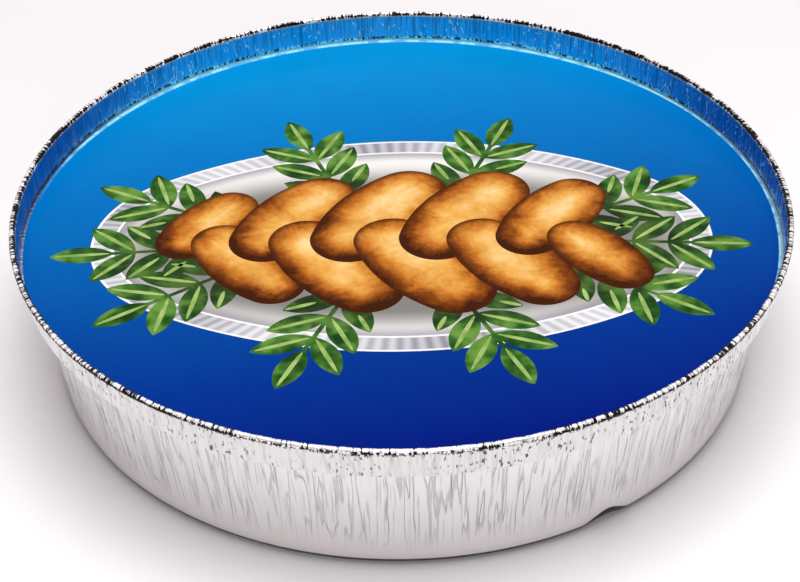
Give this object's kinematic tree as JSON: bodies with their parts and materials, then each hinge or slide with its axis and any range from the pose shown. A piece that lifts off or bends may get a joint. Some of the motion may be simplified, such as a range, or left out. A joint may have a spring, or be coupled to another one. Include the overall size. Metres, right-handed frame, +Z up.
{
  "type": "foil food container",
  "caption": "Round pressed-foil food container with an upright collar, a rolled rim and a printed card lid resting inside the collar.",
  "frame": {"origin": "centre of the underside of the pan's base", "axes": "+Z up through the middle of the pan, +X to the right and +Y to the back of the printed design"},
  "size_m": [0.2322, 0.2321, 0.0505],
  "materials": {
    "foil": "bright pressed foil",
    "card": "white coated card",
    "print_azure": "gloss print",
    "print_blue": "gloss print",
    "print_deep_blue": "gloss print",
    "print_silver": "gloss print",
    "print_white": "gloss print",
    "print_green": "gloss print",
    "print_brown": "gloss print",
    "print_gold": "gloss print",
    "print_pale_gold": "gloss print"
  },
  "bodies": {
    "root": {"foil_pan": "foil", "card_lid": "card", "print_ground_light": "print_azure", "print_ground_mid": "print_blue", "print_ground_deep": "print_deep_blue", "print_platter_rim": "print_silver", "print_platter_well": "print_white", "print_leaves": "print_green", "print_loaf_crust": "print_brown", "print_loaf_glaze": "print_gold", "print_loaf_shine": "print_pale_gold"}
  },
  "joints": []
}
